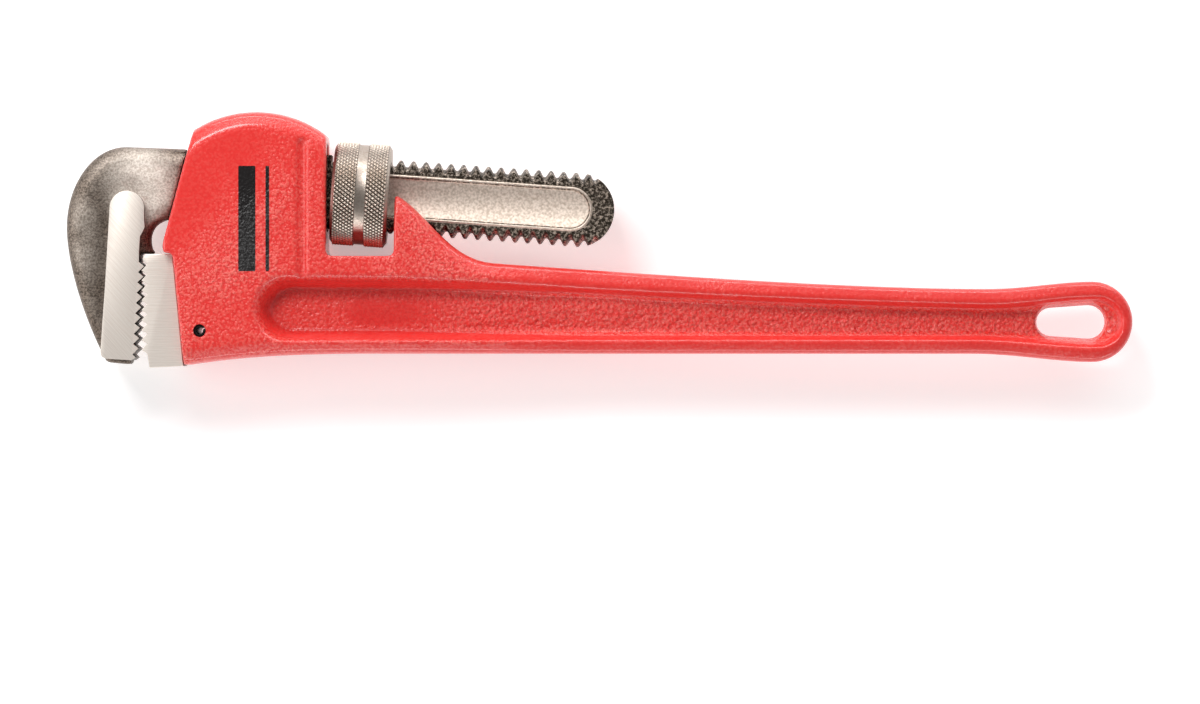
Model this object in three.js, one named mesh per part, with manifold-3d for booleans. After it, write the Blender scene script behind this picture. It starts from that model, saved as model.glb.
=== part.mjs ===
// Heavy-duty pipe wrench, 350 mm long, lying on its side with its jaws closed.
// Millimetres, +Z up. X runs along the handle towards its hanging eye and Y towards the
// housing's dome. Side outlines are drawn about the centre of the adjusting nut, and the
// whole wrench is then moved to stand over the middle of its own base.
import * as THREE from 'three';
import { mergeVertices } from 'three/addons/utils/BufferGeometryUtils.js';
import Module from 'manifold-3d';

const wasm = await Module();
wasm.setup();

const DEGREE = Math.PI / 180;

// Gaps between pieces
const runningGap = 0.35; // between the shank and the passage's floor
const sideGap = 0.6; // between the shank's sides and the passage and fork
const seatGap = 0.3; // between pieces that are fixed together
const threadGap = 0.3; // between the shank's thread and the nut's

// Threaded shank of the hook jaw
const shankTilt = 4 * DEGREE; // its lean from the handle's line
const shankThickness = 12;
const shankTail = 83.4; // from the nut's centre to the tail's end
const threadDiameter = 24.4; // over the crests
const threadDepth = 2.1;
const threadPitch = 4.12;
const threadCrest = 1.1; // flat on top of a crest
const threadRoot = 1.1; // flat between two crests
const panelHeight = 13; // sunk panel on each side of the shank
const panelDepth = 0.9;
const panelBorder = 8; // from the panel's end to the tail's end

// Adjusting nut
const nutDiameter = 34;
const nutWidth = 18.6;
const nutChamfer = 1.3;
const nutGrooveWidth = 3.2;
const nutGrooveDepth = 0.6;
const nutGrooveOffset = -0.8; // the groove's middle lies towards the jaws

// Hook jaw, drawn along and across its shank
const hookThickness = 16;
const hookRound = 2.4; // rounding of the forging's edges
const hookDepth = 25.3; // bottoms of the teeth to the back of the hook
const hookDropBelowShank = 48.8; // shank's lower edge to the hook's tip
const hookTopStep = 1.6; // shank's upper edge to the hook's top edge
const hookToothReach = 6.2; // housing's foot to the bottoms of the hook's teeth
const hookToothDrop = 15; // shank's lower edge to the first tooth
const hookToothPitch = 3.37;
const hookToothDepth = 1.9;
const toothCount = 9;
const jawBlockThickness = 20; // ground block that carries the teeth
const jawBlockWidth = 10.5;
const neckGap = 0.6; // between the hook's neck and the housing's front

// Heel jaw, drawn along and across the handle
const heelThickness = 20;
const heelToothReach = 5.2; // housing's foot to the bottoms of the heel's teeth
const heelToothDrop = 3.7; // seat's ledge to the first tooth
const heelToothPitch = 3.25;
const heelToothDepth = 1.9;
const tenonThickness = 10;
const tenonLength = 12;
const rollPinDiameter = 4;
const rollPinWall = 0.9;
const rollPinSlot = 0.8;
const rollPinInset = 0.8; // how far its ends lie below the housing's sides
const rollPinTurn = 35 * DEGREE; // which way its slot faces
const rollPinFromEnd = 4.9; // from the tenon's end
const rollPinHeight = 7.6; // above the handle's bottom edge

// Housing, at the front of the one-piece handle
const housingThickness = 29;
const castRound = 2.6; // rounding of the casting's edges, in the side view
const castRoundAcross = 3.4; // and across its thickness
const windowGap = 1.8; // each side of the nut
const windowFloorGap = 3.3; // under the nut
const frontLean = 10; // how far the front's top lies behind its foot
const housingLength = 53.4; // front's foot to the nut's window
const domeCover = 14.7; // shank's crests to the top of the dome
const domeRadius = 38;
const domeBack = 30.5; // front's foot to the dome's highest point
const footDepth = 4.3; // shank's lower edge to the front's foot
const ledgeDepth = 7.1; // shank's lower edge to the ledge that the heel jaw butts under
const seatTopBack = 3.3; // front's foot to the seat, at the ledge
const seatBottomBack = 6.9; // and at the bottom
const springRoom = 3.4; // above the shank in the passage
const ribSlotWidth = 2.4; // upright groove in each side of the housing
const ribSlotDepth = 0.8;
const ribSlotFromWindow = 6.8;

// Handle
const handleReach = 240; // nut's centre to the eye's centre
const barDepth = 32; // under the nut's window
const gripThickness = 19;
const taperLength = 60.4; // over which the thickness falls behind the window
const rootDepth = 29.7; // depth of the grip just behind the fork
const waistDepth = 21.3; // depth of the grip just before the eye
const waistFromEye = 34.6; // the narrowest place to the eye's centre
const eyeRadius = 13.2;
const eyeBulge = 2.7; // how far the eye reaches below the grip
const slotLength = 22.3;
const slotWideRadius = 5.4;
const slotNarrowRadius = 4.5;
const webShare = 0.37; // thickness of the web between the side recesses, of the whole
const recessWall = 4; // width of the recess's sloping wall
const recessBack = 28.9; // front's foot to the recess
const recessRadius = 10.4;
const bottomRim = 4.2;
const waistRim = 4.8;
const eyeRim = 4.6;

// Coil spring and flat spring in the roof of the passage
const leafThickness = 0.8;
const leafWidth = 9;
const leafLength = 32;
const leafBack = -14; // from the nut's centre
const leafRise = 0.7; // its ends turn up by this much
const coilFromLeafBack = 16;
const coilDiameter = 7.6;
const coilWire = 1.2;
const coilTurns = 4;
const pocketDepth = 6;
const pocketGap = 0.45;
const rivetDiameter = 2.4;
const rivetCollar = 4.4;
const rivetCollarHeight = 0.7;
const rivetHeight = 4.2;

const threadRadius = threadDiameter / 2;
const rootRadius = threadRadius - threadDepth;
const nutRadius = nutDiameter / 2;
const windowHalf = nutWidth / 2 + windowGap;
const windowFloor = -(nutRadius + windowFloorGap);
const bottomEdge = windowFloor - barDepth;
const eyeHeight = bottomEdge - eyeBulge + eyeRadius;
const domeTop = threadRadius + domeCover;
const passageFloor = -(threadRadius + runningGap);
const passageRoof = threadRadius + springRoom;
const passageHalf = shankThickness / 2 + sideGap;
const frontFoot = -(windowHalf + housingLength);
const frontTop = frontFoot + frontLean;
const footHeight = -(threadRadius + footDepth);
const seatHeight = -(threadRadius + ledgeDepth);
const seatTop = frontFoot + seatTopBack;
const seatBottom = frontFoot + seatBottomBack;
const domeMiddle = frontFoot + domeBack;
const hookToothLine = frontFoot - hookToothReach;
const hookToothStart = -(threadRadius + hookToothDrop);
const hookReach = hookDepth - hookToothLine;
const hookDrop = threadRadius + hookDropBelowShank;
const hookTop = threadRadius - hookTopStep;
const heelToothLine = frontFoot - heelToothReach;
const heelToothStart = seatHeight - heelToothDrop;
const taperStart = windowHalf + 0.5;
const taperEnd = taperStart + taperLength;
const recessStart = frontFoot + recessBack;
const waistX = handleReach - waistFromEye;
const threadStart = -(nutWidth / 2 + 1.5);
const leafUnderside = threadRadius + runningGap;
const leafFront = leafBack - leafLength;
const coilPlace = leafBack - coilFromLeafBack;

// ---- solids -------------------------------------------------------------------------------

function toSolid(geometry) {
  const bare = geometry.clone();
  bare.deleteAttribute('normal');
  bare.deleteAttribute('uv');
  const merged = mergeVertices(bare, 1e-4);
  return new wasm.Manifold(new wasm.Mesh({
    numProp: 3,
    vertProperties: new Float32Array(merged.attributes.position.array),
    triVerts: new Uint32Array(merged.index.array),
  }));
}

function toGeometry(solid) {
  const { vertProperties, triVerts } = solid.getMesh();
  const geometry = new THREE.BufferGeometry();
  geometry.setAttribute('position', new THREE.BufferAttribute(vertProperties, 3));
  geometry.setIndex(new THREE.BufferAttribute(triVerts, 1));
  geometry.computeVertexNormals();
  return geometry;
}

function namedMesh(name, solid, color, roughness, metalness) {
  const material = new THREE.MeshStandardMaterial({ color, roughness, metalness });
  const mesh = new THREE.Mesh(toGeometry(solid), material);
  mesh.name = name;
  return mesh;
}

// A side outline, thickened evenly about the middle plane, with rounded or plain edges.
function plate(shape, thickness, round = 0, roundAcross = round, segments = 2) {
  const geometry = new THREE.ExtrudeGeometry(shape, {
    depth: thickness - 2 * roundAcross,
    bevelEnabled: round > 0,
    bevelSize: round,
    bevelOffset: -round,
    bevelThickness: roundAcross,
    bevelSegments: segments,
    curveSegments: 7,
  });
  geometry.translate(0, 0, -thickness / 2 + roundAcross);
  return toSolid(geometry);
}

function block(fromX, toX, fromY, toY, fromZ, toZ) {
  const geometry = new THREE.BoxGeometry(toX - fromX, toY - fromY, toZ - fromZ);
  geometry.translate((fromX + toX) / 2, (fromY + toY) / 2, (fromZ + toZ) / 2);
  return toSolid(geometry);
}

// A round bar: its axis runs through (x, y) across the wrench.
function crossBar(radius, x, y, fromZ, toZ) {
  const geometry = new THREE.CylinderGeometry(radius, radius, toZ - fromZ, 24);
  geometry.rotateX(Math.PI / 2);
  geometry.translate(x, y, (fromZ + toZ) / 2);
  return toSolid(geometry);
}

// A round bar that stands across the shank, at x along it.
function uprightBar(radius, x, fromY, toY, segments = 24) {
  const geometry = new THREE.CylinderGeometry(radius, radius, toY - fromY, segments);
  geometry.translate(x, (fromY + toY) / 2, 0);
  return toSolid(geometry);
}

// Turns a solid from the shank's own frame into the handle's.
function leaned(geometry) {
  return geometry.rotateZ(-shankTilt);
}

function leanedBlock(fromX, toX, fromY, toY, fromZ, toZ) {
  const geometry = new THREE.BoxGeometry(toX - fromX, toY - fromY, toZ - fromZ);
  geometry.translate((fromX + toX) / 2, (fromY + toY) / 2, (fromZ + toZ) / 2);
  return toSolid(leaned(geometry));
}

// ---- outlines -----------------------------------------------------------------------------

// Goes straight towards a corner, round it, and on towards the next point.
function roundCorner(shape, cornerX, cornerY, nextX, nextY, size) {
  const corner = new THREE.Vector2(cornerX, cornerY);
  const next = new THREE.Vector2(nextX, nextY);
  const here = shape.currentPoint;
  const entry = corner.clone().lerp(here, size / corner.distanceTo(here));
  const exit = corner.clone().lerp(next, size / corner.distanceTo(next));
  shape.lineTo(entry.x, entry.y);
  shape.quadraticCurveTo(corner.x, corner.y, exit.x, exit.y);
}

// Saw teeth down a line at x, from startY. tipShare says where in its pitch a tip lies.
function sawTeeth(shape, x, startY, pitch, depth, tipShare) {
  for (let tooth = 0; tooth < toothCount; tooth += 1) {
    const top = startY - tooth * pitch;
    shape.lineTo(x, top);
    shape.lineTo(x + depth, top - tipShare * pitch);
  }
  shape.lineTo(x, startY - toothCount * pitch);
}

function castingOutline() {
  const shape = new THREE.Shape();
  const domeCentreY = domeTop - domeRadius;
  const angleAt = (x) => Math.acos((x - domeMiddle) / domeRadius);
  const backCorner = -windowHalf + 0.6;
  const backAngle = angleAt(backCorner - castRound);
  const shoulderY = domeCentreY + domeRadius * Math.sin(angleAt(backCorner));
  const finTop = -0.2;
  const finBack = taperStart + 32.4;
  shape.moveTo(frontFoot - 0.6, seatHeight - 6);
  shape.lineTo(frontFoot, footHeight);
  const startAngle = angleAt(frontTop);
  shape.lineTo(frontTop, domeCentreY + domeRadius * Math.sin(startAngle));
  shape.absarc(domeMiddle, domeCentreY, domeRadius, startAngle, backAngle, true);
  shape.quadraticCurveTo(backCorner, shoulderY, backCorner, shoulderY - castRound);
  roundCorner(shape, -windowHalf, windowFloor, windowHalf, windowFloor, 1.2);
  roundCorner(shape, windowHalf, windowFloor, windowHalf + 0.6, finTop, 1.2);
  shape.lineTo(windowHalf + 0.6, finTop);
  shape.bezierCurveTo(
    windowHalf + 11, finTop - 5.5,
    finBack - 15.5, bottomEdge + rootDepth + 1,
    finBack, bottomEdge + rootDepth,
  );
  shape.bezierCurveTo(
    finBack + 51, bottomEdge + rootDepth - 3.6,
    waistX - 45, bottomEdge + waistDepth,
    waistX, bottomEdge + waistDepth,
  );
  shape.bezierCurveTo(
    waistX + 13, bottomEdge + waistDepth,
    handleReach - 11, eyeHeight + eyeRadius,
    handleReach, eyeHeight + eyeRadius,
  );
  shape.absarc(handleReach, eyeHeight, eyeRadius, Math.PI / 2, -Math.PI / 2, true);
  shape.bezierCurveTo(
    handleReach - 12, bottomEdge - eyeBulge,
    waistX + 10, bottomEdge,
    waistX - 5, bottomEdge,
  );
  shape.lineTo(0, bottomEdge);
  shape.bezierCurveTo(
    -25, bottomEdge - 0.2,
    -42, bottomEdge - 1,
    seatBottom - 5, bottomEdge - 4.7,
  );
  return shape;
}

// Long recess in each side of the handle, from the housing to round the eye.
function recessOutline() {
  const shape = new THREE.Shape();
  const middleX = recessStart + recessRadius;
  const recessTop = bottomEdge + bottomRim + 2 * recessRadius;
  const floorY = bottomEdge + bottomRim;
  const waistY = bottomEdge + waistDepth - waistRim;
  const innerRadius = eyeRadius - eyeRim;
  shape.absarc(middleX, floorY + recessRadius, recessRadius, 1.5 * Math.PI, Math.PI / 2, true);
  shape.lineTo(middleX + 40, recessTop - 0.3);
  shape.bezierCurveTo(
    middleX + 85, recessTop - 2.2,
    middleX + 135, waistY + 2.3,
    waistX, waistY,
  );
  shape.bezierCurveTo(
    waistX + 13, waistY,
    handleReach - 11, eyeHeight + innerRadius,
    handleReach, eyeHeight + innerRadius,
  );
  shape.absarc(handleReach, eyeHeight, innerRadius, Math.PI / 2, -Math.PI / 2, true);
  shape.bezierCurveTo(
    handleReach - 12, eyeHeight - innerRadius,
    waistX + 10, floorY,
    waistX - 5, floorY,
  );
  return shape;
}

// Hanging slot, a little wider at the eye's end.
function slotOutline() {
  const shape = new THREE.Shape();
  const wideX = handleReach - 1;
  const narrowX = wideX + slotWideRadius + slotNarrowRadius - slotLength;
  const lean = Math.asin((slotWideRadius - slotNarrowRadius) / (wideX - narrowX));
  const wideEnd = Math.PI / 2 + lean;
  shape.absarc(wideX, eyeHeight, slotWideRadius, wideEnd, -wideEnd, true);
  shape.absarc(narrowX, eyeHeight, slotNarrowRadius, -wideEnd, wideEnd, true);
  return shape;
}

// Side outline of the forged hook, without its shank, in the shank's own frame.
function hookOutline() {
  const shape = new THREE.Shape();
  const topEnd = frontAt(hookTop) - neckGap;
  const lowEnd = frontAt(-threadRadius) - neckGap;
  const backEdge = hookToothLine - 0.4;
  shape.moveTo(topEnd, hookTop + 0.6);
  shape.lineTo(-(hookReach - 18), hookTop - 0.3);
  shape.bezierCurveTo(
    -(hookReach - 7.5), hookTop - 0.9,
    -hookReach, -2,
    -hookReach, -15,
  );
  shape.bezierCurveTo(
    -hookReach, -27,
    -(hookReach - 7), -46,
    -(hookReach - 16), -(hookDrop - 2),
  );
  shape.quadraticCurveTo(-(hookReach - 17.5), -hookDrop, -(hookReach - 21), -hookDrop);
  shape.lineTo(backEdge, -(hookDrop - 0.4));
  shape.lineTo(backEdge, hookToothStart + 4.2);
  shape.lineTo(backEdge + 2.9, hookToothStart + 4.2);
  shape.bezierCurveTo(
    backEdge + 2.9, hookToothStart + 10,
    lowEnd - 3.4, -threadRadius - 2.4,
    lowEnd, -threadRadius,
  );
  return shape;
}

// Where the housing's front lies along the shank, at a height across the shank.
function frontAt(acrossShank) {
  const slope = frontLean / (domeTop - 6 - footHeight);
  const foot = new THREE.Vector2(frontFoot, footHeight);
  const footAlong = foot.x * Math.cos(shankTilt) - foot.y * Math.sin(shankTilt);
  const footAcross = foot.x * Math.sin(shankTilt) + foot.y * Math.cos(shankTilt);
  return footAlong + (acrossShank - footAcross) * Math.tan(Math.atan(slope) - shankTilt);
}

// Ground block on the hook, with the teeth on its right.
function jawBlockOutline() {
  const shape = new THREE.Shape();
  const left = hookToothLine - jawBlockWidth;
  const headRadius = jawBlockWidth / 2 + 0.4;
  const headY = hookToothStart + 17.3;
  const foot = -(hookDrop - 1.5);
  shape.moveTo(hookToothLine - 6, foot);
  roundCorner(shape, left + 1.6, foot, left, -36, 2);
  shape.lineTo(left, -36);
  shape.lineTo(left - 0.3, headY);
  shape.absarc(left - 0.3 + headRadius, headY, headRadius, Math.PI, 0, true);
  shape.lineTo(hookToothLine + 1.2, hookToothStart + 11.5);
  shape.lineTo(hookToothLine - 0.2, hookToothStart + 8.5);
  shape.lineTo(hookToothLine - 0.2, hookToothStart + 3.4);
  sawTeeth(shape, hookToothLine, hookToothStart, hookToothPitch, hookToothDepth, 0.38);
  shape.lineTo(hookToothLine + 1.2, foot + 0.9);
  shape.lineTo(hookToothLine - 0.2, foot);
  return shape;
}

function heelOutline() {
  const shape = new THREE.Shape();
  const top = seatHeight - seatGap;
  const foot = bottomEdge - 4.6;
  const tips = heelToothLine - heelToothDepth;
  const backTop = seatTop - seatGap;
  const backFoot = seatBottom - seatGap;
  shape.moveTo(backTop, top);
  shape.lineTo(backFoot, foot + 0.6);
  shape.lineTo(heelToothLine + 0.7, foot);
  const lastTooth = heelToothStart - toothCount * heelToothPitch;
  shape.lineTo(heelToothLine, lastTooth);
  for (let tooth = toothCount - 1; tooth >= 0; tooth -= 1) {
    const valley = heelToothStart - tooth * heelToothPitch;
    shape.lineTo(tips, valley - 0.62 * heelToothPitch);
    shape.lineTo(heelToothLine, valley);
  }
  shape.lineTo(tips + 0.4, heelToothStart + 1.3);
  shape.quadraticCurveTo(tips + 0.4, top, tips + 2.6, top);
  return shape;
}

// ---- thread -------------------------------------------------------------------------------

// Helix about the X axis. Its frames stay square to the axis, so a swept ridge never rolls.
class ThreadPath extends THREE.Curve {
  constructor(radius, fromX, toX) {
    super();
    this.radius = radius;
    this.fromX = fromX;
    this.toX = toX;
  }

  turnAt(t) {
    const x = THREE.MathUtils.lerp(this.fromX, this.toX, t);
    return { x, angle: (2 * Math.PI * x) / threadPitch };
  }

  getPoint(t) {
    const { x, angle } = this.turnAt(t);
    return new THREE.Vector3(x, this.radius * Math.cos(angle), this.radius * Math.sin(angle));
  }

  getPointAt(share) {
    return this.getPoint(share);
  }

  computeFrenetFrames(steps) {
    const frames = { tangents: [], normals: [], binormals: [] };
    for (let step = 0; step <= steps; step += 1) {
      const { angle } = this.turnAt(step / steps);
      const along = new THREE.Vector3(1, 0, 0);
      const outward = new THREE.Vector3(0, Math.cos(angle), Math.sin(angle));
      frames.normals.push(along);
      frames.binormals.push(outward);
      frames.tangents.push(along.clone().cross(outward));
    }
    return frames;
  }
}

// A threaded rod along X. grow makes it larger all over, as the tap that cuts a nut.
function threadedRod(fromX, toX, grow) {
  const stepsPerTurn = 24;
  const bed = 0.5; // the ridge starts this far inside the core
  const crest = threadCrest / 2 + grow;
  const base = (threadPitch - threadRoot) / 2 + grow;
  const bedBase = base + ((base - crest) * bed) / threadDepth;
  const ridge = new THREE.Shape([
    new THREE.Vector2(-bedBase, -bed),
    new THREE.Vector2(bedBase, -bed),
    new THREE.Vector2(crest, threadDepth),
    new THREE.Vector2(-crest, threadDepth),
  ]);
  const firstTurn = Math.floor(fromX / threadPitch) - 1;
  const lastTurn = Math.ceil(toX / threadPitch) + 1;
  const coreRadius = rootRadius + grow;
  const path = new ThreadPath(coreRadius, firstTurn * threadPitch, lastTurn * threadPitch);
  const steps = (lastTurn - firstTurn) * stepsPerTurn;
  const swept = new THREE.ExtrudeGeometry(ridge, { steps, extrudePath: path });
  const length = path.toX - path.fromX + 2;
  const core = new THREE.CylinderGeometry(coreRadius, coreRadius, length, stepsPerTurn);
  core.rotateZ(Math.PI / 2);
  core.translate((path.fromX + path.toX) / 2, 0, 0);
  return toSolid(core).add(toSolid(swept));
}

// ---- pieces -------------------------------------------------------------------------------

// The casting's thickness is even as far as taperStart and falls evenly to taperEnd.
function taperThickness(solid) {
  const slim = gripThickness / housingThickness;
  const far = 400;
  const shareAt = (x) => {
    const along = (x - taperStart) / (taperEnd - taperStart);
    return THREE.MathUtils.lerp(1, slim, THREE.MathUtils.clamp(along, 0, 1));
  };
  const stretches = [[-far, taperStart], [taperStart, taperEnd], [taperEnd, far]];
  let whole = null;
  for (const [fromX, toX] of stretches) {
    const geometry = toGeometry(solid.intersect(block(fromX, toX, -far, far, -far, far)));
    const position = geometry.attributes.position;
    for (let i = 0; i < position.count; i += 1) {
      position.setZ(i, position.getZ(i) * shareAt(position.getX(i)));
    }
    const stretch = toSolid(geometry);
    whole = whole ? whole.add(stretch) : stretch;
  }
  return whole;
}

function handle() {
  const half = housingThickness / 2;
  const out = housingThickness;
  const webHalf = half * webShare;
  let body = plate(castingOutline(), housingThickness, castRound, castRoundAcross);

  // Side recesses, the upright grooves beside the window, and the hanging slot
  const recess = plate(recessOutline(), 2 * half, recessWall, (half - webHalf) * 0.75);
  const groove = -windowHalf - ribSlotFromWindow;
  for (const side of [-1, 1]) {
    body = body.subtract(recess.translate([0, 0, side * (half + webHalf)]));
    const fromZ = side > 0 ? half - ribSlotDepth : -out;
    const toZ = side > 0 ? out : -half + ribSlotDepth;
    body = body.subtract(
      block(groove - ribSlotWidth, groove, bottomEdge + bottomRim + recessRadius, domeTop - 9, fromZ, toZ),
    );
  }
  body = body.subtract(plate(slotOutline(), 2 * out));
  body = taperThickness(body);

  // Seat and mortise for the heel jaw, with the hole for its pin
  const seat = new THREE.Shape([
    new THREE.Vector2(frontFoot - 30, seatHeight),
    new THREE.Vector2(seatTop, seatHeight),
    new THREE.Vector2(seatBottom, bottomEdge - 4),
    new THREE.Vector2(seatBottom + 1, bottomEdge - 20),
    new THREE.Vector2(frontFoot - 30, bottomEdge - 20),
  ]);
  const { fromX, toX, fromY, toY, pinX, pinY } = tenonPlace();
  const tenonHalf = tenonThickness / 2 + seatGap;
  body = body.subtract(plate(seat, 2 * out));
  body = body.subtract(
    block(fromX - 6, toX + seatGap, fromY - seatGap, toY + seatGap, -tenonHalf, tenonHalf),
  );
  body = body.subtract(crossBar(rollPinDiameter / 2 + seatGap, pinX, pinY, -out, out));

  // Passage for the shank, with the spring's pocket in its roof, and the fork behind the nut
  body = body.subtract(
    leanedBlock(frontFoot - 20, -windowHalf + 3, passageFloor, passageRoof, -passageHalf, passageHalf),
  );
  const pocket = new THREE.CylinderGeometry(
    coilDiameter / 2 + pocketGap, coilDiameter / 2 + pocketGap, pocketDepth + 1, 24,
  );
  pocket.translate(coilPlace, passageRoof + (pocketDepth - 1) / 2, 0);
  body = body.subtract(toSolid(leaned(pocket)));
  body = body.subtract(
    block(windowHalf - 2, windowHalf + 70, windowFloor + 1, domeTop, -passageHalf, passageHalf),
  );
  return body;
}

// Where the heel jaw's tenon and its pin lie in the housing.
function tenonPlace() {
  const fromX = seatBottom - 2;
  const toX = seatTop + 1.8 + tenonLength;
  return {
    fromX,
    toX,
    fromY: bottomEdge + 0.4,
    toY: seatHeight - 7,
    pinX: toX - rollPinFromEnd,
    pinY: bottomEdge + rollPinHeight,
  };
}

function heelJaw() {
  const { fromX, toX, fromY, toY, pinX, pinY } = tenonPlace();
  const half = tenonThickness / 2;
  return plate(heelOutline(), heelThickness)
    .add(block(fromX - 2, toX, fromY, toY, -half, half))
    .subtract(crossBar(rollPinDiameter / 2 + seatGap, pinX, pinY, -half - 1, half + 1));
}

// Slotted spring-steel tube, driven through both cheeks and the tenon.
function rollPin() {
  const outer = rollPinDiameter / 2;
  const inner = outer - rollPinWall;
  const openOuter = Math.asin(rollPinSlot / 2 / outer);
  const openInner = Math.asin(rollPinSlot / 2 / inner);
  const shape = new THREE.Shape();
  shape.absarc(0, 0, outer, openOuter, 2 * Math.PI - openOuter, false);
  shape.absarc(0, 0, inner, 2 * Math.PI - openInner, openInner, true);
  const length = housingThickness - 2 * rollPinInset;
  const geometry = new THREE.ExtrudeGeometry(shape, {
    depth: length,
    bevelEnabled: false,
    curveSegments: 9,
  });
  const { pinX, pinY } = tenonPlace();
  geometry.rotateZ(rollPinTurn);
  geometry.translate(pinX, pinY, -length / 2);
  return toSolid(geometry);
}

function shank() {
  const half = threadRadius;
  const thread = new THREE.Shape();
  thread.moveTo(threadStart, half + 1);
  thread.lineTo(threadStart, -half - 1);
  thread.lineTo(shankTail - half, -half - 1);
  thread.lineTo(shankTail - half, -half);
  thread.absarc(shankTail - half, 0, half, -Math.PI / 2, Math.PI / 2, false);
  thread.lineTo(shankTail - half, half + 1);
  const plain = new THREE.Shape();
  const plainFront = frontAt(0) - 5;
  plain.moveTo(plainFront, half - 3);
  plain.lineTo(plainFront, -half + 3);
  plain.lineTo(frontAt(-half), -half);
  plain.lineTo(threadStart + 0.5, -half);
  plain.lineTo(threadStart + 0.5, half);
  plain.lineTo(frontAt(half), half);
  const panel = new THREE.Shape();
  const panelRadius = panelHeight / 2;
  const panelEnd = shankTail - panelBorder - panelRadius;
  panel.absarc(0, 0, panelRadius, 1.5 * Math.PI, Math.PI / 2, true);
  panel.absarc(panelEnd, 0, panelRadius, Math.PI / 2, -Math.PI / 2, true);
  const rod = threadedRod(threadStart, shankTail, 0);
  let bar = plate(thread, shankThickness).intersect(rod).add(plate(plain, shankThickness, 0.8));
  for (const side of [-1, 1]) {
    const sink = plate(panel, shankThickness, 0.8);
    bar = bar.subtract(sink.translate([0, 0, side * (shankThickness - panelDepth)]));
  }
  return bar;
}

function hookJaw() {
  return plate(hookOutline(), hookThickness, hookRound, hookRound)
    .add(plate(jawBlockOutline(), jawBlockThickness))
    .add(shank());
}

function adjustingNut() {
  const half = nutWidth / 2;
  const grooveFrom = nutGrooveOffset - nutGrooveWidth / 2;
  const grooveTo = nutGrooveOffset + nutGrooveWidth / 2;
  const grooveRadius = nutRadius - nutGrooveDepth;
  const bore = rootRadius - 1; // opened out by the tap
  const profile = [
    [bore, -half],
    [nutRadius - nutChamfer, -half],
    [nutRadius, -half + nutChamfer],
    [nutRadius, grooveFrom],
    [grooveRadius, grooveFrom + 0.4],
    [grooveRadius, grooveTo - 0.4],
    [nutRadius, grooveTo],
    [nutRadius, half - nutChamfer],
    [nutRadius - nutChamfer, half],
    [bore, half],
    [bore, -half],
  ].map(([radius, along]) => new THREE.Vector2(radius, along));
  const ring = new THREE.LatheGeometry(profile, 40);
  ring.rotateZ(-Math.PI / 2);
  return toSolid(ring).subtract(threadedRod(-half, half, threadGap));
}

// Flat spring that lies on the shank, with both ends turned up.
function flatSpring() {
  const low = leafUnderside;
  const high = leafUnderside + leafThickness;
  const turn = 5;
  const shape = new THREE.Shape();
  shape.moveTo(leafFront, low + leafRise);
  shape.quadraticCurveTo(leafFront + turn / 2, low, leafFront + turn, low);
  shape.lineTo(leafBack - turn, low);
  shape.quadraticCurveTo(leafBack - turn / 2, low, leafBack, low + leafRise);
  shape.lineTo(leafBack, high + leafRise);
  shape.quadraticCurveTo(leafBack - turn / 2, high, leafBack - turn, high);
  shape.lineTo(leafFront + turn, high);
  shape.quadraticCurveTo(leafFront + turn / 2, high, leafFront, high + leafRise);
  const hole = uprightBar(rivetDiameter / 2 + seatGap, coilPlace, low - 1, high + 1);
  return plate(shape, leafWidth).subtract(hole);
}

// Rivet that keeps the coil spring on the flat spring.
function springRivet() {
  const low = leafUnderside + 0.1;
  const seat = leafUnderside + leafThickness + seatGap;
  const profile = [
    [0, low],
    [rivetDiameter / 2, low],
    [rivetDiameter / 2, seat],
    [rivetCollar / 2, seat],
    [rivetCollar / 2, seat + rivetCollarHeight],
    [rivetDiameter / 2, seat + rivetCollarHeight],
    [rivetDiameter / 2, seat + rivetHeight - 0.5],
    [rivetDiameter / 2 - 0.5, seat + rivetHeight],
    [0, seat + rivetHeight],
  ].map(([radius, height]) => new THREE.Vector2(radius, height));
  const geometry = new THREE.LatheGeometry(profile, 16);
  geometry.translate(coilPlace, 0, 0);
  return toSolid(geometry);
}

// Helix that stands across the shank, for the coil spring's wire.
class CoilPath extends THREE.Curve {
  constructor(radius, bottom, top) {
    super();
    this.radius = radius;
    this.bottom = bottom;
    this.top = top;
  }

  getPoint(t) {
    const angle = 2 * Math.PI * coilTurns * t;
    return new THREE.Vector3(
      this.radius * Math.cos(angle),
      THREE.MathUtils.lerp(this.bottom, this.top, t),
      this.radius * Math.sin(angle),
    );
  }
}

function coilSpring() {
  const wire = coilWire / 2;
  const bottom = leafUnderside + leafThickness + seatGap + wire;
  const top = passageRoof + pocketDepth - seatGap - wire;
  const section = new THREE.Shape();
  section.absarc(0, 0, wire, 0, 2 * Math.PI, false);
  const geometry = new THREE.ExtrudeGeometry(section, {
    steps: coilTurns * 14,
    curveSegments: 3,
    extrudePath: new CoilPath(coilDiameter / 2 - wire, bottom, top),
  });
  geometry.translate(coilPlace, 0, 0);
  return toSolid(geometry);
}

// ---- wrench -------------------------------------------------------------------------------

const RED = 0xe03830;
const FORGED = 0x6b6058;
const GROUND = 0xcfc6bc;
const SPRING_STEEL = 0x3c3a38;

const alongHandle = new THREE.Group();
alongHandle.add(
  namedMesh('handle', handle(), RED, 0.35, 0.1),
  namedMesh('heel_jaw', heelJaw(), GROUND, 0.3, 0.9),
  namedMesh('heel_jaw_pin', rollPin(), SPRING_STEEL, 0.4, 0.8),
);

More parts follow.
